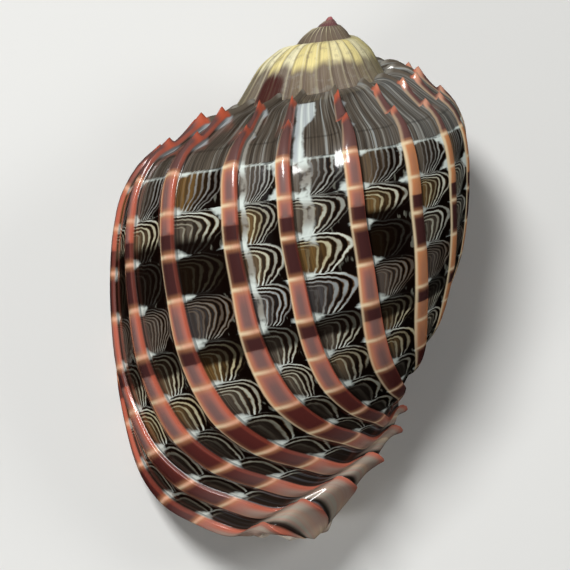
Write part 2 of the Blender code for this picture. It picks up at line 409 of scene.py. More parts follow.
@dataclass
class LastWhorl(Part):
    """The last whorl: a ribbed wall that ends in the outer lip."""

    name: str = "last_whorl"
    wall: float = 1.25
    lip_wall: float = 2.1
    lip_wall_span: float = 12.0
    lip_round: float = 3.2
    tuck: float = 0.9
    start_dip: float = 0.12
    start_dip_span: float = 30.0
    start_wall_span: float = 4.0
    start_fade: tuple[float, float] = (3.0, 23.0)
    crest_to: float = 0.082
    crest_foot: float = 0.102
    crest_width: float = 0.19
    crown: float = 0.55
    crown_height: float = 0.32
    widening: float = 0.2
    young_slope: float = 0.24
    young_power: float = 1.6
    rib_height: float = 1.0
    saw_places: tuple[float, float] = (9.6, 10.8)
    saw_power: float = 2.2
    shoulder_height: float = 1.75
    second_height: float = 1.15
    ridge: float = 0.35
    flange: float = 0.6
    spine_middle: float = 0.03
    spine_width: float = 0.12
    spine_fall_power: float = 1.3
    first_rise: float = 0.2
    first_fall: float = 0.42
    second_rise: float = 0.12
    second_fall: float = 0.4
    spine_out: float = 0.3
    spine_up: float = 0.95
    scale_height: float = 0.5
    scale_width: float = 0.22
    edge_width: float = 0.13
    edge_steps: tuple[float, ...] = (0.0, 0.02, 0.08, 0.2, 0.4, 0.7, 1.0)
    steps: tuple[float, ...] = (
        -0.46, -0.42, -0.38, -0.34, -0.30, -0.26, -0.22, -0.18, -0.14, -0.105, -0.08, -0.05, -0.02,
        0.01, 0.035, 0.055, 0.07, 0.08, 0.088, 0.095, 0.105, 0.13, 0.18, 0.25, 0.34, 0.45,
    )  # fmt: skip
    row_counts: tuple[tuple[float, int], ...] = (
        (SUTURE_PLACE, 8), (-1.35, 24), (0.35, 44), (9.5, 20), (11.7, 8),
    )  # fmt: skip

    def columns(self) -> np.ndarray:
        """Columns of the wall, closer together at each rib's steep edge and at the lip.

        Returns:
            The rib number of each column.
        """
        lip = float(self.coil.rib_of_turn(np.array(self.coil.lip_turn)))
        start = float(self.coil.rib_of_turn(np.array(self.coil.wall_start)))
        ribs = [rib + step for rib in range(int(start) + 2) for step in self.steps]
        inside = [rib for rib in ribs if lip + self.edge_width + 0.01 < rib < start - 0.02]
        edge = [lip + self.edge_width * step for step in self.edge_steps]
        return np.unique(np.round([*edge, *inside, start], 5))

    def rows(self) -> np.ndarray:
        """Rows of the wall, closer together at the spines.

        Returns:
            The outline place of each row.
        """
        ends = [start for start, _ in self.row_counts[1:]]
        spans = [
            np.linspace(start, end, count, endpoint=False)
            for (start, count), end in zip(self.row_counts, ends)
        ]
        start, count = self.row_counts[-1]
        return np.concatenate([*spans, np.linspace(start, ROOT_PLACE, count)])

    def rib_profile(self, ribs: np.ndarray, places: np.ndarray) -> np.ndarray:
        """Height of the ribs: low domes, steep on the older side, saw-like on the fasciole.

        Args:
            ribs: rib number of each column.
            places: outline place of each row.

        Returns:
            Shares of the ribs' height from 0 to 1, a row for each column.
        """
        offset = (ribs - np.round(ribs))[:, None]
        crest = self.crest_to - self.crest_width - self.widening * ease(places, *WIDE)
        young = ease(offset, crest - self.young_slope, crest) ** self.young_power
        bend = share_of(offset, crest, self.crest_to) / self.crown - 1
        saw = share_of(offset, -0.5, self.crest_to) ** self.saw_power
        share = ease(places, *self.saw_places)
        profile = young * (1 - self.crown_height * bend**2) * (1 - share) + saw * share
        return profile * (1 - share_of(offset, self.crest_to, self.crest_foot))

    def spines(self, ribs: np.ndarray, places: np.ndarray) -> tuple[np.ndarray, np.ndarray]:
        """Heights of what points up from each rib: its spines, and the flange up to the suture.

        Args:
            ribs: rib number of each column.
            places: outline place of each row.

        Returns:
            Heights of the spines and of the flange in millimetres at the last rib, a row for each
            column.
        """
        offset = ribs - np.round(ribs)
        across = np.clip(1 - np.abs(offset - self.spine_middle) / self.spine_width, 0, 1)[:, None]
        first = places + 1
        ridge = self.ridge * share_of(places, SUTURE_PLACE, -2.5)
        above = np.maximum(share_of(first, -self.first_rise, 0), ridge)
        below = np.exp(-((np.maximum(first, 0) / self.first_fall) ** self.spine_fall_power))
        sharp = 1 + 0.8 * np.clip(1 - np.abs(first) / 0.5, 0, 1)
        total = self.shoulder_height * np.where(first < 0, above, below) * across**sharp
        above = share_of(places, -self.second_rise, 0)
        below = np.exp(-((np.maximum(places, 0) / self.second_fall) ** self.spine_fall_power))
        sharp = 1 + share_of(places, self.second_fall, 0)
        total = total + self.second_height * np.where(places < 0, above, below) * across**sharp
        climb = share_of(places, SUTURE_PLACE, -2.65) * share_of(places, -1.6, -2.4)
        return total, self.flange * climb * across

    def surface(self, ribs: np.ndarray, places: np.ndarray) -> tuple[np.ndarray, np.ndarray]:
        """The wall's two sides.

        Args:
            ribs: rib number of each column.
            places: outline place of each row.

        Returns:
            The ribbed outer surface and the smooth inner one, as grids of points.
        """
        coil = self.coil
        turn = coil.turn_of_rib(ribs)
        past_start = turn - coil.wall_start
        base = coil.whorl(turn, places, self.tuck)
        normals = outward(base)
        size = coil.growth(turn)[:, None]
        heights = curve_weights(places, WALL_KNOTS) @ np.array([0.0, *(s.rib for s in STATIONS)])
        scales = np.exp(-(((places - CREST_PLACE) / self.scale_width) ** 2))
        heights = heights + scales * self.scale_height
        fade = share_of(past_start, *self.start_fade)[:, None]
        relief = self.rib_height * self.rib_profile(ribs, places) * heights * size * fade
        relief = relief - self.start_dip * ease(1 - past_start / self.start_dip_span)[:, None]
        spikes, flange = self.spines(ribs, places)
        spikes = (spikes * size * fade)[..., None]
        flange = (flange * np.sqrt(size) * fade)[..., None]
        up = np.array([0.0, 1.0, 0.0])
        raised = base + normals * relief[..., None] + up * flange
        raised = raised + (self.spine_out * normals + self.spine_up * up) * spikes
        rounding = np.clip((coil.lip_turn - turn) / self.lip_round, 0, 1)
        rounding = np.sqrt(np.maximum(1 - (1 - rounding) ** 2, 0))
        start = np.clip(past_start / self.start_wall_span, 0, 1)
        near_lip = np.clip(1 + turn / self.lip_wall_span, 0, 1)
        full = self.wall + (self.lip_wall - self.wall) * near_lip
        full = full * np.sqrt(coil.growth(turn))
        edge = (0.5 * full * (1 - rounding))[:, None, None]
        keep = np.where(turn > 0, rounding, 1.0)[:, None, None]
        outer = base + (raised - base) * keep - normals * edge
        inner = base - normals * ((full * rounding * start)[:, None, None] + edge)
        inner[0] = outer[0]
        inner[-1] = outer[-1]
        return outer, inner

    def sheet(self) -> Sheet:
        """The wall as one ring: down its outer side and back up its inner side.

        Returns:
            The sheet.
        """
        ribs = self.columns()
        places = self.rows()
        outer, inner = self.surface(ribs, places)
        points = np.concatenate([outer, inner[:, ::-1], outer[:, :1]], axis=1)
        down = np.concatenate([places, places[::-1], places[:1]])
        return Sheet(points, ribs, down, inner_from=len(places) - 1)


@dataclass
class Spire(Part):
    """The older whorls above the last one, with fine folds and a pointed tip."""

    name: str = "spire"
    whorls: float = 3.6
    overlap: float = 3.0
    tuck: float = 0.5
    young_step: float = 0.75
    older_step: float = 1.5
    finer_from: float = -1.4
    bottom: float = 3.25
    bearing: float = 7.0
    slant: float = 1.6
    fold_spacing: float = 12.5
    fold_height: float = 0.5
    fold_rise: float = 0.75
    fold_fall: float = 0.8
    bead_height: float = 0.5
    bead_place: float = -1.9
    bead_width: float = 0.35
    cone_down: tuple[float, ...] = (0.0, 0.13, 0.28, 0.46, 0.66, 0.84, 1.0)
    cone_from: float = -560.0
    cone_span: float = 240.0
    tip_height: float = 0.6
    tip_radius: float = 1.1

    def sheet(self) -> Sheet:
        """The spire as a strip that winds up to the apex.

        Returns:
            The sheet.
        """
        start = self.coil.wall_start + self.overlap
        turns = [start]
        while turns[-1] > start - 360 * self.whorls:
            older = (start - turns[-1]) / 360
            turns.append(turns[-1] - (self.young_step + self.older_step * older))
        turn = np.array(turns)
        upper = np.linspace(SUTURE_PLACE, self.finer_from, 9, endpoint=False)
        places = np.concatenate([upper, np.linspace(self.finer_from, self.bottom, 28)])
        radius, axial = self.coil.spire_knots(turn)
        size = self.coil.growth(turn)[:, None]
        high, low = axial[:, :1], axial[:, -1:]
        cone = high + (low - high) * np.array(self.cone_down)
        axial = axial + (cone - axial) * ease((self.cone_from - turn) / self.cone_span)[:, None]
        radius[:, :1] -= self.tuck * size
        axial = axial - self.tip_height * np.clip(1 - radius / self.tip_radius, 0, 1) ** 1.5
        weights = curve_weights(places, np.arange(-3.0, 3.5))
        bearing = self.coil.last_rib_bearing + turn[:, None]
        bearing = bearing + self.bearing - self.slant * (places - SUTURE_PLACE)
        base = self.coil.to_point(bearing, radius @ weights.T, axial @ weights.T)
        phase = (-turn / self.fold_spacing) % 1.0
        fold = (ease(phase, 0, self.fold_rise) * (1 - ease(phase, self.fold_fall, 1)))[:, None]
        along = ease(places, -2.95, -2.15) * (1 - 0.7 * ease(places, -0.3, 2.1))
        bead = np.exp(-(((places - self.bead_place) / self.bead_width) ** 2)) * fold**2
        relief = self.fold_height * size * (fold * along + self.bead_height * bead)
        points = base + outward(base) * relief[..., None]
        points[-1] = points[-1].mean(axis=0)
        return Sheet(points, self.coil.rib_of_turn(turn), places)


@dataclass
class Columella(Part):
    """The core inside the aperture: the columella, its callus and the wall of the whorl before."""

    name: str = "columella"
    down: tuple[float, ...] = (40.0, 62.0, 77.0, 86.0, 90.0, 91.4)
    thick: tuple[float, ...] = (5.8, 5.6, 5.2, 4.3, 2.4, 0.0)
    side_fade: float = 9.0
    fasciole_slope: float = 0.18
    fill: float = 0.6
    fill_from: tuple[float, float] = (-160.0, 60.0)
    fill_to: tuple[float, float] = (-15.0, 45.0)
    blend: int = 6
    callus: float = 0.75
    callus_width: float = 34.0
    callus_edge: float = 22.0
    inner_callus: tuple[float, float] = (300.0, 360.0)
    cavity_start: float = 34.0
    cavity_opening: float = 50.0
    suture_fade: float = 0.16
    wall: float = 1.25
    top: float = 15.0
    top_tuck: float = 1.0
    top_power: float = 0.7
    columns: int = 180
    levels: int = 130
    degrees_per_rib: float = 20.0
    axial_per_place: float = 10.0

    def pillar(self, axial: np.ndarray) -> np.ndarray:
        """Radius of the columella alone at some axial distances."""
        return np.interp(axial, self.down, self.thick)

    def side(self, turn: float, axial: np.ndarray) -> np.ndarray:
        """Radius of a whorl's side at some axial distances, running into the columella.

        Args:
            turn: the turn angle whose half plane is cut.
            axial: the axial distances.

        Returns:
            The radii.
        """
        lags = np.array([station.lag for station in STATIONS])
        radii, places = self.coil.outline((turn - lags)[None, :])
        last = next(i for i, station in enumerate(STATIONS) if station.place == NOTCH[0])
        side = np.interp(axial, places[0, :last], radii[0, :last])
        reach = self.side_fade * self.coil.growth(turn)
        past = np.maximum(axial - places[0, last - 3], 0) / reach
        pillar = self.pillar(axial)
        return pillar + np.maximum(side - pillar, 0) * np.exp(-(past**2))

    def radii(self, bearing: float, axial: np.ndarray) -> np.ndarray:
        """Radii of the core along a line from the spire to the anterior tip.

        Args:
            bearing: the line's direction from the axis.
            axial: axial distances along the line.

        Returns:
            The radii.
        """
        coil = self.coil
        turn = bearing - coil.last_rib_bearing
        suture_radius, suture_axial = coil.suture(turn)
        past_lip = turn - coil.lip_turn + 360
        opened = ease((past_lip - self.cavity_start) / self.cavity_opening)
        callus = self.callus * (1 - ease((past_lip - self.callus_width) / self.callus_edge))
        buried = 0.5 * self.wall * (1 - callus / self.callus)
        inner_callus = self.callus * ease(past_lip, *self.inner_callus)
        radius = (1 - opened) * (self.side(turn, axial) + callus - buried)
        radius = radius + opened * (self.side(turn - 360, axial) + inner_callus)
        fall = np.exp(-np.maximum(axial - suture_axial, 0) / (self.suture_fade * suture_axial))
        radius = radius + (suture_radius - radius) * fall
        pillar = self.pillar(axial)
        filled = pillar + self.fill * np.maximum(self.fasciole_slope * axial - pillar, 0)
        window = ease((bearing - self.fill_from[0]) / self.fill_from[1])
        window = window * ease((self.fill_to[0] - bearing) / self.fill_to[1])
        radius = (radius**self.blend + (filled * window) ** self.blend) ** (1 / self.blend)
        above = share_of(axial, self.top, suture_axial) ** self.top_power
        return np.where(axial < suture_axial, (suture_radius - self.top_tuck) * above, radius)

    def sheet(self) -> Sheet:
        """The core as one closed skin.

        Returns:
            The sheet.
        """
        lip = self.coil.last_rib_bearing + self.coil.lip_turn
        bearings = lip - np.linspace(0, 360, self.columns + 1)
        levels = np.linspace(self.top, self.down[-1], self.levels)
        points = np.zeros((len(bearings), len(levels), 3))
        for column, bearing in enumerate(bearings):
            radii = self.radii(bearing if column else bearing - 360, levels)
            radii[[0, -1]] = 0
            points[column] = self.coil.to_point(bearing, radii, levels, whole=True)
        points[-1] = points[0]
        ribs, places = bearings / self.degrees_per_rib, levels / self.axial_per_place
        return Sheet(points, ribs, places)


class Operation(Enum):
    """What a Math node does to its inputs."""

    ADD = "ADD"
    SUBTRACT = "SUBTRACT"
    MULTIPLY = "MULTIPLY"
    DIVIDE = "DIVIDE"
    POWER = "POWER"
    LEAST = "MINIMUM"
    MOST = "MAXIMUM"
    ABSOLUTE = "ABSOLUTE"
    FLOOR = "FLOOR"
    FRACTION = "FRACT"
    SINE = "SINE"


class Signal:
    """A value or colour on its way through a shader's nodes."""

    def __init__(self, tree: bpy.types.NodeTree, socket: bpy.types.NodeSocket) -> None:
        """Take up one output of a node."""
        self.tree = tree
        self.socket = socket

    def feed(self, socket: bpy.types.NodeSocket, value: object) -> None:
        """Link a signal to a socket, or set the socket to a plain value.

        Args:
            socket: the input that is fed.
            value: a signal, a colour or a number.
        """
        if isinstance(value, Signal):
            self.tree.links.new(value.socket, socket)
        elif isinstance(value, tuple):
            socket.default_value = (*value, 1.0)[: len(socket.default_value)]
        else:
            socket.default_value = value

    def math(self, operation: Operation, *inputs: object) -> "Signal":
        """The result of a Math node.

        Args:
            operation: what the node does.
            inputs: what goes into it, in order.

        Returns:
            The result.
        """
        node = self.tree.nodes.new("ShaderNodeMath")
        node.operation = operation.value
        for socket, value in zip(node.inputs, inputs):
            self.feed(socket, value)
        return Signal(self.tree, node.outputs[0])

    def __add__(self, other: object) -> "Signal":
        """Sum."""
        return self.math(Operation.ADD, self, other)

    def __sub__(self, other: object) -> "Signal":
        """Difference."""
        return self.math(Operation.SUBTRACT, self, other)

    def __rsub__(self, other: object) -> "Signal":
        """A number less this signal."""
        return self.math(Operation.SUBTRACT, other, self)

    def __mul__(self, other: object) -> "Signal":
        """Product."""
        return self.math(Operation.MULTIPLY, self, other)

    def __truediv__(self, other: object) -> "Signal":
        """Quotient."""
        return self.math(Operation.DIVIDE, self, other)

    def __pow__(self, other: object) -> "Signal":
        """Power."""
        return self.math(Operation.POWER, self, other)

    def __abs__(self) -> "Signal":
        """Size without its sign."""
        return self.math(Operation.ABSOLUTE, self)

    def floor(self) -> "Signal":
        """Whole part."""
        return self.math(Operation.FLOOR, self)

    def fract(self) -> "Signal":
        """Part past the whole number below."""
        return self.math(Operation.FRACTION, self)

    def sine(self) -> "Signal":
        """Sine of an angle in radians."""
        return self.math(Operation.SINE, self)

    def positive(self) -> "Signal":
        """This signal, or 0 where it is less."""
        return self.math(Operation.MOST, self, 0.0)

    def capped(self) -> "Signal":
        """This signal, or 1 where it is more."""
        return self.math(Operation.LEAST, self, 1.0)

    def step(self, low: object, high: object) -> "Signal":
        """Smooth step of this signal.

        Args:
            low: where it is 0, a number or a signal.
            high: where it is 1, above or below that.

        Returns:
            The step.
        """
        node = self.tree.nodes.new("ShaderNodeMapRange")
        node.interpolation_type = "SMOOTHSTEP"
        for name, value in (("Value", self), ("From Min", low), ("From Max", high)):
            self.feed(node.inputs[name], value)
        return Signal(self.tree, node.outputs[0])

    def within(self, low: float, high: float, soft: float) -> "Signal":
        """1 between two values, falling to 0 over a soft edge outside them."""
        return self.step(low - soft, low) * (1.0 - self.step(high, high + soft))

    def near(self, value: float, width: float) -> "Signal":
        """1 where this signal is near a value, falling to 0 a width away."""
        return 1.0 - abs(self - value).step(0.0, width)

    def ramp(self, stops: Stops, low: float, high: float) -> "Signal":
        """The colour of a ramp at this signal.

        Args:
            stops: place and colour of each stop.
            low: place at the ramp's start.
            high: place at its end.

        Returns:
            The colour.
        """
        node = self.tree.nodes.new("ShaderNodeValToRGB")
        self.feed(node.inputs[0], (self - low) / (high - low))
        elements = node.color_ramp.elements
        for _ in stops[2:]:
            elements.new(1.0)
        for element, (place, colour) in zip(elements, stops):
            element.position = min(max((place - low) / (high - low), 0.0), 1.0)
            element.color = (*colour, 1.0)
        return Signal(self.tree, node.outputs[0])


class Shader:
    """A material's or a node group's nodes, with the signals that most of its parts start from."""

    def __init__(self, tree: bpy.types.NodeTree) -> None:
        """Take up a node tree."""
        self.tree = tree

    def signal(self, node: bpy.types.Node, output: object = 0) -> Signal:
        """One of a node's outputs."""
        return Signal(self.tree, node.outputs[output])

    def read_growth(self, spacing: float) -> None:
        """Read rib number and place from the piece's UV map, and the growth lines there.

        Args:
            spacing: how many lines go between two ribs.
        """
        layer = self.tree.nodes.new("ShaderNodeUVMap")
        layer.uv_map = "growth"
        parts = self.tree.nodes.new("ShaderNodeSeparateXYZ")
        self.tree.links.new(layer.outputs[0], parts.inputs[0])
        self.ribs, self.place = self.signal(parts, 0), self.signal(parts, 1)
        lines = self.tree.nodes.new("ShaderNodeGroup")
        lines.node_tree = growth_lines()
        for socket, value in zip(lines.inputs, (self.ribs, self.place, spacing)):
            self.ribs.feed(socket, value)
        self.fine, self.coarse = self.signal(lines, "Lines"), self.signal(lines, "Coarse")

    def spot(self) -> Signal:
        """The point on the piece."""
        return self.signal(self.tree.nodes.new("ShaderNodeTexCoord"), "Object")

    def point(self, *parts: object) -> Signal:
        """A point joined from its parts.

        Args:
            parts: its coordinates, signals or numbers.

        Returns:
            The point.
        """
        node = self.tree.nodes.new("ShaderNodeCombineXYZ")
        joined = self.signal(node)
        for socket, value in zip(node.inputs, parts):
            joined.feed(socket, value)
        return joined

    def noise(
        self, point: Signal, scale: float = 1.0, detail: float = 2.0, rough: float = 0.5
    ) -> Signal:
        """Soft noise at a point.

        Args:
            point: where it is read.
            scale: how many lumps go in a unit.
            detail: how many finer layers it has.
            rough: how strong the finer layers are.

        Returns:
            The noise, from 0 to 1.
        """
        node = self.tree.nodes.new("ShaderNodeTexNoise")
        inputs = {"Vector": point, "Scale": scale, "Detail": detail, "Roughness": rough}
        for name, value in inputs.items():
            point.feed(node.inputs[name], value)
        return self.signal(node, "Fac")

    def random(self, *parts: object) -> Signal:
        """A random value from 0 to 1 that is the same for the same numbers.

        Args:
            parts: three numbers, or signals that hold whole cells.

        Returns:
            The value.
        """
        node = self.tree.nodes.new("ShaderNodeTexWhiteNoise")
        point = self.point(*parts)
        point.feed(node.inputs["Vector"], point)
        return self.signal(node, "Value")

    def lay(self, base: object, *coats: tuple[object, object]) -> Signal:
        """A colour with coats of other colours laid over it in order.

        Args:
            base: the colour under them all.
            coats: how far each coat covers, from 0 to 1, and its colour.

        Returns:
            The colour.
        """
        for share, colour in coats:
            node = self.tree.nodes.new("ShaderNodeMix")
            node.data_type = "RGBA"
            mixed = self.signal(node, 2)
            for socket, value in zip((0, 6, 7), (share, base, colour)):
                mixed.feed(node.inputs[socket], value)
            base = mixed
        return base


@cache
def growth_lines() -> bpy.types.NodeTree:
    """The node group that every finish of the shell uses: lines along the lip's old edges.

    Returns:
        The group, built once. It gives fine and coarse lines from 0 to 1.
    """
    tree = bpy.data.node_groups.new("growth_lines", "ShaderNodeTree")
    for name in ("Ribs", "Place", "Spacing"):
        tree.interface.new_socket(name, in_out="INPUT", socket_type="NodeSocketFloat")
    for name in ("Lines", "Coarse"):
        tree.interface.new_socket(name, in_out="OUTPUT", socket_type="NodeSocketFloat")
    shader = Shader(tree)
    inside = tree.nodes.new("NodeGroupInput")
    outside = tree.nodes.new("NodeGroupOutput")
    ribs, place, spacing = (shader.signal(inside, i) for i in range(3))
    across = ribs * spacing
    lines = shader.noise(shader.point(across, place * 0.25, 0.0), detail=3.0, rough=0.6)
    coarse = shader.noise(shader.point(across * 0.3, place * 0.15, 3.0), detail=3.0, rough=0.6)
    for signal, socket in zip((lines, coarse), outside.inputs):
        signal.feed(socket, signal)
    return tree


@dataclass(frozen=True)
class Gloss:
    """A polished shell surface: how rough it is, its clear outer layer and its relief."""

    roughness: float = 0.38
    specular: float = 0.15
    coat: float = 0.8
    coat_roughness: float = 0.1
    relief: float = 0.00002

    def material(self, name: str, spacing: float) -> tuple[bpy.types.Material, Shader]:
        """A new material.

        Args:
            name: its name.
            spacing: how many growth lines go between two ribs.

        Returns:
            The material and its nodes.
        """
        material = bpy.data.materials.new(name)
        material.use_nodes = True
        body = material.node_tree.nodes["Principled BSDF"]
        body.inputs["Roughness"].default_value = self.roughness
        body.inputs["Specular IOR Level"].default_value = self.specular
        body.inputs["Coat Weight"].default_value = self.coat
        body.inputs["Coat Roughness"].default_value = self.coat_roughness
        shader = Shader(material.node_tree)
        shader.read_growth(spacing)
        return material, shader

    def dress(
        self, material: bpy.types.Material, colour: Signal, height: Signal
    ) -> bpy.types.Material:
        """Give a material its colour and its fine relief.

        Args:
            material: the material.
            colour: its colour.
            height: the height of its relief, from 0 to 1.

        Returns:
            The same material.
        """
        body = material.node_tree.nodes["Principled BSDF"]
        colour.feed(body.inputs["Base Color"], colour)
        bump = material.node_tree.nodes.new("ShaderNodeBump")
        bump.inputs["Distance"].default_value = self.relief
        height.feed(bump.inputs["Height"], height)
        material.node_tree.links.new(bump.outputs[0], body.inputs["Normal"])
        return material


@dataclass(frozen=True)
class BandedFinish:
    """The last whorl's outside: coloured ribs, and arcs and bands between them.

    Across a space, 0 is at its younger rib and 1 at its older one. Across a rib, 0 is at its gentle
    side and 1 at its steep one.
    """

    gloss: Gloss = Gloss()
    salmon: Colour = (0.43, 0.148, 0.108)
    mauve: Colour = (0.19, 0.11, 0.10)
    plum: Colour = (0.13, 0.062, 0.055)
    apricot: Colour = (0.60, 0.27, 0.12)
    maroon: Colour = (0.055, 0.018, 0.017)
    red_edge: Colour = (0.50, 0.10, 0.05)
    cream: Colour = (0.80, 0.66, 0.42)
    bar: Colour = (0.72, 0.38, 0.25)
    dark: Colour = (0.004, 0.0015, 0.0008)
    line: Colour = (0.44, 0.45, 0.36)
    silver: Colour = (0.30, 0.33, 0.33)
    slate: Colour = (0.06, 0.058, 0.062)
    scale: Colour = (0.38, 0.25, 0.20)
    amber: Colour = (0.10, 0.05, 0.018)
    white: Colour = (0.68, 0.75, 0.70)
    straw: Colour = (0.47, 0.42, 0.24)
    fan: Colour = (0.33, 0.30, 0.24)
    chalk: Colour = (0.42, 0.46, 0.47)
    drab: Colour = (0.11, 0.09, 0.068)
    ash: Colour = (0.30, 0.285, 0.245)
    soot: Colour = (0.020, 0.014, 0.010)
    gold: Colour = (0.18, 0.10, 0.03)
    garnet: Colour = (0.085, 0.018, 0.015)
    tan: Colour = (0.62, 0.25, 0.08)
    lines_per_space: float = 34.0
    space_start: float = 0.10
    space_width: float = 0.80
    widening: float = 0.2
    arch_spring: float = 0.42
    arch_narrowing: float = 0.47
    arch_power: float = 2.6
    arch_root: float = 0.385
    arcs_per_space: float = 5.0
    rib_side: float = 0.118
    rib_end: float = 0.10
    mend: tuple[float, float] = (5.11, 5.54)

    def build(self) -> bpy.types.Material:
        """Make the material.

        Returns:
            The material.
        """
        material, shader = self.gloss.material("banded_shell", self.lines_per_space)
        ribs, place = shader.ribs, shader.place
        wave = shader.noise(shader.point(ribs * 1.6, place * 1.8, 1.0)) - 0.5
        wobble = shader.noise(shader.point(ribs * 6.0, place * 4.0, 7.0))
        colour = self.arcs(shader, place + wave * 0.22 + (wobble - 0.5) * 0.05, wobble)
        colour = self.shoulder(shader, colour)
        colour = self.mends(shader, wobble, colour)
        colour = self.ribs(shader, place + wave * 0.05, colour)
        return self.gloss.dress(material, colour, shader.fine + shader.coarse * 0.8)

    def arcs(self, shader: Shader, place: Signal, wobble: Signal) -> Signal:
        """Colour of the spaces between the ribs below the first pale band.

        Args:
            shader: the material's nodes.
            place: outline place, a little wavy.
            wobble: noise that bends the arcs.

        Returns:
            The colour.
        """
        ribs, coarse = shader.ribs, shader.coarse
        width = self.space_width - place.step(*WIDE) * self.widening
        across = (ribs.fract() - self.space_start) / width
        down = place.fract()
        to_bar = 0.5 - abs(down - 0.5)
        cell = shader.random(ribs.floor(), place.floor(), 0.5)
        warm = shader.random(ribs.floor(), place.floor(), 2.5)
        low = place.step(5.8, 7.6)
        first, fifth = place.within(1.0, 2.0, 0.05), place.within(4.0, 5.0, 0.05)
        violet = fifth * (1.0 - ribs.within(4.0, 6.0, 0.05))

        over = (self.arch_spring - down).positive() / 0.46 * (1.0 - place.within(1.0, 2.0, 0.02))
        fall = (down - self.arch_spring).positive() / (1.0 - self.arch_spring)
        along = (across + (wobble - 0.5) * 0.08) / (1.0 - fall**1.5 * self.arch_narrowing)
        depth = (along.positive() ** self.arch_power + over**self.arch_power) ** self.arch_root
        count = cell * 1.8 + self.arcs_per_space - low * 2.4 + first * 2.0 + violet * 3.0
        rings = depth * count + cell * 3.0 + (coarse - 0.5) * 0.6
        tone = (rings * math.tau).sine() * 0.5 + 0.5 + depth * 0.15
        clear = shader.random((rings + 0.25).floor(), cell * 40.0, 6.0)
        strength = depth.step(0.0, 0.4) * (1.0 - depth.step(0.88, 1.02))
        strength = strength * (wobble.step(0.25, 0.5) * 0.4 + 0.6) * (1.0 - first * 0.45)
        strength = strength * (1.0 - low * (1.0 - depth.step(0.4, 0.75)) * 0.9)
        strength = strength * (clear.step(0.0, 0.6) * 0.6 + 0.4)

        warm = warm * (1.0 - low * 0.5)
        ground = shader.lay(
            self.drab,
            (warm.step(0.35, 0.9), self.gold),
            (fifth * 0.8, self.slate),
            (coarse.step(0.42, 0.6) * 0.7, self.soot),
            (depth.step(0.15, 0.7), self.dark),
            (low * 0.6, self.dark),
        )
        snowy = place.within(1.2, 3.8, 0.4) * ribs.step(3.6, 4.4) * depth.step(0.45, 0.85)
        pale = shader.lay(
            self.line,
            (warm.step(0.4, 0.8) * 0.8, self.straw),
            (first + fifth, self.silver),
            (violet * 0.8, self.drab),
            (snowy * 0.6, self.white),
            ((1.0 - to_bar.step(0.02, 0.2)) * (0.8 - violet * 0.5), self.white),
        )
        band = place.within(2.8, 4.0, 0.25) * (1.0 - ribs.within(4.0, 5.95, 0.05))
        band = band * ribs.step(7.02, 6.98) + place.within(5.05, 5.5, 0.15)
        band = (band + place.within(7.1, LAST_BAND, 0.2) * 0.5).capped()
        hidden = band * (cell * 0.06 + place.step(4.6, 4.2) * 0.09 + 0.84)
        hidden = hidden * (wobble * 2.0 + 0.4).capped()
        wisp = shader.noise(shader.point(ribs * 9.0, place * 2.5, 4.0)).step(0.60, 0.68)
        cusp = to_bar * (6.0 - low * 2.0) + across * (3.2 - low * 0.8) + (wobble - 0.5) * 1.6
        bold = ribs.step(2.6, 3.6) * 0.62 + ribs.step(6.3, 6.7) * 0.25
        wing = to_bar * 3.4 + (1.0 - across) * 4.5 + (wobble - 0.5) * 1.8 + warm * 1.3
        wing = (wing - place.within(0.75, 2.3, 0.1) * bold).step(0.45, 1.1)
        scales = shader.lay(self.fan, (coarse.step(0.35, 0.65), self.scale))
        fan = shader.lay(
            self.soot,
            (coarse.step(0.42, 0.66), self.slate),
            (coarse.step(0.56, 0.72) * 0.5, self.silver),
            (place.step(*NOTCH) * across.step(0.1, 0.4), scales),
        )
        return shader.lay(
            ground,
            (tone.step(0.3, 0.8) * strength, self.amber),
            (tone.step(0.6, 1.05) * strength, pale),
            (hidden, self.dark),
            (wisp * depth.step(0.9, 1.0) * 0.25, self.line),
            ((1.0 - cusp.step(0.3, 1.0)) * 0.9, self.white),
            ((1.0 - wing) * 0.85, self.white),
            (place.step(LAST_BAND, LAST_BAND + 0.35), fan),
        )

    def shoulder(self, shader: Shader, below: Signal) -> Signal:
        """Colour with the grey-brown shoulder above the first pale band.

        Args:
            shader: the material's nodes.
            below: colour below the shoulder.

        Returns:
            The colour.
        """
        ribs, place, fine, coarse = shader.ribs, shader.place, shader.fine, shader.coarse
        across = ribs.fract()
        grey = ribs.step(4.0, 7.5) * 0.5 + across.step(0.4, 0.95) * 0.3 + 0.4
        thread = place.near(0.42, 0.06) * across.within(0.2, 0.8, 0.1) * coarse
        reach = across - ribs.step(5.6, 5.4) * 0.07
        lower = 1.0 - (reach + abs(place - 0.1) * 0.5).step(0.13, 0.22)
        upper = 1.0 - (reach + abs(place + 0.9) * 0.5).step(0.15, 0.26)
        line = place.near(1.0, 0.05) * (coarse * 2.8 - 0.8).capped()
        return shader.lay(
            self.soot,
            (fine.step(0.32, 0.62), self.drab),
            (ribs.step(5.5, 8.0) * coarse.step(0.35, 0.6) * 0.3, self.silver),
            (coarse.step(0.5, 0.66) * grey, self.ash),
            ((fine * 0.5 + coarse * 0.5).step(0.54, 0.64) * grey, self.silver),
            (thread * 0.7, self.dark),
            ((lower + upper).capped() * across.step(0.09, 0.11) * 0.8, self.chalk),
            (place.step(0.93, 0.99), below),
            (line * 0.7, self.white),
        )

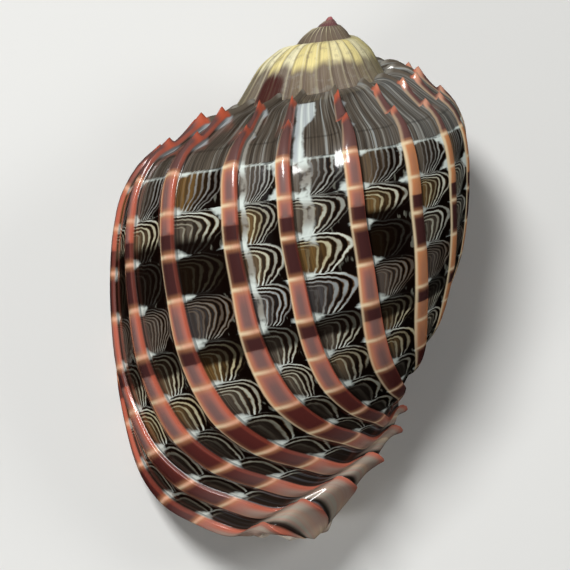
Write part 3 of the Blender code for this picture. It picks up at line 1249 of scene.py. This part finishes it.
    def mends(self, shader: Shader, wobble: Signal, colour: Signal) -> Signal:
        """Colour with the white mended strip and the pale streaks that run on below it.

        Args:
            shader: the material's nodes.
            wobble: soft noise.
            colour: colour below the mends.

        Returns:
            The colour.
        """
        place, coarse = shader.place, shader.coarse
        side = shader.ribs + (wobble - 0.5) * 0.10
        start, end = self.mend
        tapered = side + place.step(-0.7, 0.1) * 0.24
        strip = tapered.step(end, end - 0.06) * side.step(start, start + 0.05)
        strip = strip * place.within(-1.2, 1.0, 0.12)
        arch = ((place.fract() * math.pi).sine() * 0.8 + 0.2) * place.step(0.9, 1.0)
        streaks = (side - arch * 0.06).within(5.20, 5.30, 0.05) * place.within(1.0, 3.2, 0.2)
        beside = (side - arch * 0.08).within(4.11, 4.17, 0.05) * place.within(-0.7, 4.9, 0.3)
        streaks = streaks * wobble.step(0.3, 0.5) + beside * wobble.step(0.2, 0.5)
        chalk = shader.lay(self.chalk, (coarse.step(0.4, 0.7), self.white))
        worn = shader.lay(self.ash, (arch.step(1.0, 0.4) * place.step(0.8, 1.0), self.white))
        return shader.lay(colour, (streaks.capped() * 0.85, worn), (strip.capped(), chalk))

    def rib_bands(self) -> Stops:
        """Colours down a rib, from the suture to the fasciole.

        Returns:
            The place and colour of each stop.
        """
        above: Stops = (
            (-2.6, self.ash), (-2.2, self.drab), (-1.25, self.drab), (-1.1, self.red_edge),
        )  # fmt: skip
        bands = (
            (-0.75, 0.96, self.plum), (1.0, 2.42, self.salmon), (2.52, 3.97, self.maroon),
            (4.03, 4.97, self.salmon), (5.03, 5.42, self.maroon), (5.5, 6.97, self.salmon),
            (7.03, 8.0, self.garnet),
        )  # fmt: skip
        below: Stops = (
            (8.9, self.plum), (9.1, self.salmon), (9.6, self.scale), (11.0, self.fan),
            (11.7, self.scale), (12.3, self.cream),
        )  # fmt: skip
        edges = tuple((place, colour) for start, end, colour in bands for place in (start, end))
        return above + edges + below

    def ribs(self, shader: Shader, place: Signal, between: Signal) -> Signal:
        """Colour with the ribs laid over the spaces, and a painted shadow beside each steep side.

        Args:
            shader: the material's nodes.
            place: outline place.
            between: colour of the spaces.

        Returns:
            The colour.
        """
        ribs, coarse = shader.ribs, shader.coarse
        offset = (ribs + 0.5).fract() - 0.5
        arrow = (place + 1.0).fract() ** 0.6
        arrow = arrow + place.step(0.95, 1.0) * (1.0 - arrow)
        arrow = arrow + place.step(-0.95, -1.0) * (0.1 - arrow)
        young = (place.step(*WIDE) * -self.widening - self.rib_side) * arrow - 0.03
        share = (offset - young) / (self.rib_end - young) + (coarse - 0.5) * 0.1
        older = ribs.step(5.6, 7.4)
        bright = place.within(1.0, 2.47, 0.05) + place.within(4.0, 5.0, 0.05)
        bright = bright + place.within(5.46, 7.0, 0.05)

        middle = share.step(0.1, 0.45) * (1.0 - share.step(0.6, 0.92)) * bright
        middle = middle * (1.0 - older * 0.7) * (place.fract().step(0.0, 0.5) * 0.6 + 0.35)
        edge = share.step(0.32, 0.0) * (bright * 0.6 + 0.2) * place.step(0.3, 1.0)
        rim = share.step(0.84, 0.95) * (bright * 0.5 + place.step(1.0, 0.5) * 0.3 + 0.2)
        to_bar = abs((place + 0.5).fract() - 0.5)
        barred = place.within(0.9, 9.2, 0.05)
        bar = shader.lay(self.cream, (share.step(0.0, 0.9) * (1.0 - older * 0.6), self.bar))
        cream = older * (place.step(2.6, 2.2) * 0.1 + 0.12)
        left = share.step(cream + 0.13, cream * 0.5) * (place.step(0.9, 1.1) * 0.6 + 0.4)
        left = left * place.step(-1.0, -0.7) * ribs.step(1.6, 3.4) * (older * 0.3 + 0.6)
        tips = place.near(-0.95, 0.28) + place.near(0.06, 0.2) * 0.8
        tips = tips + share.step(0.55, 0.92) * place.within(9.5, 11.4, 0.4) * 0.75
        tip = shader.lay(self.red_edge, (ribs.step(6.0, 8.5) * 0.8, self.bar))
        rib = shader.lay(
            place.ramp(self.rib_bands(), -2.6, 12.5),
            (coarse.step(0.3, 0.7) * place.step(9.3, 9.9) * 0.8, self.scale),
            (bright * older * 0.9, self.tan),
            (middle, self.mauve),
            (edge, self.apricot),
            (rim * place.step(-1.2, -1.05), self.red_edge),
            ((1.0 - to_bar.step(0.02, 0.2)) * barred * 0.5, self.apricot),
            ((1.0 - to_bar.step(0.0, 0.085)) * barred * 0.9, bar),
            (left, self.cream),
            (tips.capped(), tip),
            (coarse.step(0.5, 0.8) * 0.2, self.maroon),
        )
        soft = place.step(9.8, 10.8)
        mask = offset.step(young - soft * 0.2 - 0.02, young + soft * 0.12 + 0.012)
        mask = mask * (1.0 - offset.step(0.09, 0.106)) * place.step(-2.9, -2.4)
        # Painted shadow: a thin dark line just past each rib's steep side, where the rib's step
        # would cast shade.
        painted_shadow_line = offset.within(0.104, 0.125, 0.012) * place.within(-0.8, LAST_BAND, 0.3)
        return shader.lay(between, (mask, rib), (painted_shadow_line * 0.6, self.dark))


@dataclass(frozen=True)
class SpireFinish:
    """The spire: a pink tip, then purple and grey-brown whorls, the youngest cream above. The folds
    carry painted highlights on their crests and painted shade in their furrows.
    """

    gloss: Gloss = Gloss(roughness=0.42, coat=0.2)
    tip: Colour = (0.40, 0.08, 0.11)
    purple: Colour = (0.15, 0.05, 0.06)
    drab: Colour = (0.16, 0.12, 0.085)
    cream: Colour = (0.86, 0.80, 0.52)
    yellow: Colour = (0.80, 0.68, 0.29)
    olive: Colour = (0.26, 0.23, 0.11)
    mauve: Colour = (0.19, 0.145, 0.13)
    # Grey-brown of a young whorl's lower half, also used as the painted shade in the fold furrows.
    skirt_brown_and_furrow_shade: Colour = (0.11, 0.075, 0.065)
    ash: Colour = (0.30, 0.29, 0.25)
    block: Colour = (0.055, 0.010, 0.009)
    lines_per_space: float = 40.0
    block_at: tuple[float, float] = (20.6, 2.0)
    block_size: tuple[float, float] = (0.52, 1.25)
    old_from: tuple[float, float] = (31.0, 33.5)

    def build(self) -> bpy.types.Material:
        """Make the material.

        Returns:
            The material.
        """
        material, shader = self.gloss.material("spire_shell", self.lines_per_space)
        ribs, place, fine, coarse = shader.ribs, shader.place, shader.fine, shader.coarse
        last, turn = len(Coil.rib_turns) - 1, Coil.rib_turns[-1]
        turned = (ribs - last) * (Coil.rib_spacing / Spire.fold_spacing) - turn / Spire.fold_spacing
        folds = turned.fract()
        tint = shader.random(turned.floor(), 1.0, 0.0)
        wave = shader.noise(shader.point(ribs * 1.2, 0.0, 5.0)) - 0.5
        worn = shader.noise(shader.point(ribs * 2.2, place * 1.3, 9.0), detail=3.0, rough=0.6)
        worn = worn.step(0.5, 0.68)
        top = shader.lay(
            self.yellow,
            (tint.step(0.2, 0.9), self.cream),
            (coarse.step(0.4, 0.8) * 0.5, self.olive),
            (worn * 0.4, self.mauve),
        )
        skirt = shader.lay(self.skirt_brown_and_furrow_shade, (coarse.step(0.4, 0.7), self.mauve), (worn * 0.45, self.ash))
        stops: Stops = (
            (30.0, self.drab), (44.0, self.drab), (52.0, self.purple), (62.0, self.purple),
            (66.0, self.tip),
        )  # fmt: skip
        old = shader.lay(ribs.ramp(stops, 30.0, 80.0), (tint.step(0.3, 0.9) * 0.4, self.mauve))
        lower = (place + wave * 2.2 + (tint - 0.5) * 0.5).step(0.0, 0.7)
        # Painted highlight: cream on the crest of each fold, where light catches the relief.
        crest = folds.within(0.76, 0.86, 0.05) * (place.step(1.5, -1.6) * 0.5 + 0.15)
        # Painted shade: a dark line in each furrow between the folds.
        painted_furrow_shade = folds.within(0.0, 0.1, 0.05) + folds.step(0.92, 0.99)
        beside = ((ribs + wave * 0.5 - self.block_at[0]) / self.block_size[0]) ** 4.0
        beyond = ((place + (coarse - 0.5) * 0.8 - self.block_at[1]) / self.block_size[1]) ** 4.0
        block = (beside + beyond).step(1.6, 0.3) * (coarse.step(0.2, 0.6) * 0.25 + 0.7)
        colour = shader.lay(
            top,
            (lower * 0.92, skirt),
            ((ribs.step(20.5, 18.0) + ribs.step(23.6, 26.4)) * 0.55, self.olive),
            (ribs.step(*self.old_from), old),
            # Painted highlight on the fold crests, then painted shade in the furrows.
            (crest * coarse.step(0.2, 0.6), self.cream),
            (painted_furrow_shade.capped() * 0.45, self.skirt_brown_and_furrow_shade),
            (fine.step(0.5, 0.75) * 0.2, self.cream),
            (block, self.block),
        )
        return self.gloss.dress(material, colour, fine + coarse)


@dataclass(frozen=True)
class PorcelainFinish:
    """The wall's inside and the columella: cream porcelain, with brown blotches on the callus."""

    name: str = "porcelain"
    gloss: Gloss = Gloss(roughness=0.22, coat=0.8)
    cream: Colour = (0.74, 0.56, 0.40)
    pale: Colour = (0.82, 0.74, 0.64)
    blotch: Colour = (0.16, 0.05, 0.02)
    blotched: float = 0.0
    lines_per_space: float = 12.0
    clouds_per_metre: float = 60.0
    blotches_per_metre: float = 45.0

    def build(self) -> bpy.types.Material:
        """Make the material.

        Returns:
            The material.
        """
        material, shader = self.gloss.material(self.name, self.lines_per_space)
        cloud = shader.noise(shader.spot(), self.clouds_per_metre, 3.0).step(0.35, 0.7)
        stain = shader.noise(shader.spot(), self.blotches_per_metre).step(0.54, 0.62)
        colour = shader.lay(self.cream, (cloud, self.pale), (stain * self.blotched, self.blotch))
        return self.gloss.dress(material, colour, shader.fine * 0.3 + shader.coarse * 0.4)


@dataclass(frozen=True)
class SoftLight:
    """A soft light that faces the shell, its place and size in metres."""

    name: str
    place: Place
    size: tuple[float, float]
    watts: float
    mirrored: bool = False

    def hang(self) -> None:
        """Make the light. Only a mirrored one shows in the shell's gloss."""
        data = bpy.data.lights.new(self.name, "AREA")
        data.shape = "RECTANGLE"
        data.size, data.size_y = self.size
        data.energy = self.watts
        light = bpy.data.objects.new(self.name, data)
        light.location = self.place
        light.visible_glossy = self.mirrored
        light.rotation_euler = Vector(self.place).to_track_quat("Z", "Y").to_euler()
        bpy.context.scene.collection.objects.link(light)


@dataclass(frozen=True)
class Studio:
    """The floor, the lights, the sky and the camera, which looks at a point of the coil's frame."""

    distance: float = 454.5
    lens: float = 189.5
    sensor: float = 36.0
    roll: float = -2.1
    tilt: float = 4.5
    centre: Place = (7.32, 53.15, 0.0)
    near_clip: float = 0.01
    far_clip: float = 20.0
    floor_size: float = 3.0
    floor_colour: Colour = (0.72, 0.72, 0.70)
    floor_roughness: float = 0.9
    sky: float = 0.08
    lights: tuple[SoftLight, ...] = (
        SoftLight("key", (-0.16, 0.20, 0.57), (0.14, 0.26), 3.3, mirrored=True),
        SoftLight("fill", (0.45, 0.10, 0.42), (0.2, 0.2), 0.8),
        SoftLight("front", (-0.42, -0.35, 0.36), (0.2, 0.2), 1.2),
    )

    def set_camera(self, to_row: Matrix) -> None:
        """Put the camera where the photograph was taken from.

        Args:
            to_row: the matrix from the coil's frame to the row's frame.
        """
        view = Matrix.Translation(self.centre)
        view = view @ Matrix.Rotation(math.radians(self.roll), 4, "Z")
        view = view @ Matrix.Rotation(math.radians(self.tilt), 4, "X")
        world = to_row @ view.inverted() @ Matrix.Translation((0, 0, self.distance))
        data = bpy.data.cameras.new("camera")
        data.lens = self.lens
        data.sensor_width = self.sensor
        data.clip_start = self.near_clip
        data.clip_end = self.far_clip
        camera = bpy.data.objects.new("camera", data)
        camera.matrix_world = Matrix.LocRotScale(world.to_translation(), world.to_quaternion(), None)
        bpy.context.scene.collection.objects.link(camera)
        bpy.context.scene.camera = camera

    def lay_floor(self) -> None:
        """Make the plain pale floor, which the shell's gloss doesn't mirror."""
        grid = bmesh.new()
        bmesh.ops.create_grid(grid, x_segments=1, y_segments=1, size=self.floor_size / 2)
        data = bpy.data.meshes.new("floor")
        grid.to_mesh(data)
        grid.free()
        material = bpy.data.materials.new("floor")
        material.use_nodes = True
        body = material.node_tree.nodes["Principled BSDF"]
        body.inputs["Base Color"].default_value = (*self.floor_colour, 1.0)
        body.inputs["Roughness"].default_value = self.floor_roughness
        data.materials.append(material)
        floor = bpy.data.objects.new("floor", data)
        floor.visible_glossy = False
        bpy.context.scene.collection.objects.link(floor)

    def light_sky(self) -> None:
        """Make a faint even light from all sides."""
        world = bpy.data.worlds.new("studio")
        world.use_nodes = True
        sky = world.node_tree.nodes["Background"]
        sky.inputs["Color"].default_value = (1.0, 1.0, 1.0, 1.0)
        sky.inputs["Strength"].default_value = self.sky
        world.cycles_visibility.glossy = False
        bpy.context.scene.world = world

    def build(self, to_row: Matrix) -> None:
        """Make the whole studio.

        Args:
            to_row: the matrix from the coil's frame to the row's frame.
        """
        self.set_camera(to_row)
        self.lay_floor()
        for light in self.lights:
            light.hang()
        self.light_sky()
        bpy.context.scene.view_settings.view_transform = "Standard"


def main() -> None:
    """Build the shell, dress it and set up the studio."""
    logging.basicConfig(level=logging.INFO, format="%(message)s")
    coil = Coil()
    dressed = (
        (LastWhorl(coil), [BandedFinish().build(), PorcelainFinish().build()]),
        (Spire(coil), [SpireFinish().build()]),
        (Columella(coil), [PorcelainFinish(name="callus", blotched=0.75).build()]),
    )
    sheets = [part.sheet() for part, _ in dressed]
    to_row = RestPose().place(np.concatenate([sheet.points.reshape(-1, 3) for sheet in sheets]))
    for (part, finishes), sheet in zip(dressed, sheets):
        piece = part.build(sheet, to_row, finishes)
        log.info("%s: %d faces", piece.name, len(piece.data.polygons))
    Studio().build(to_row)


if __name__ == "__main__":
    main()
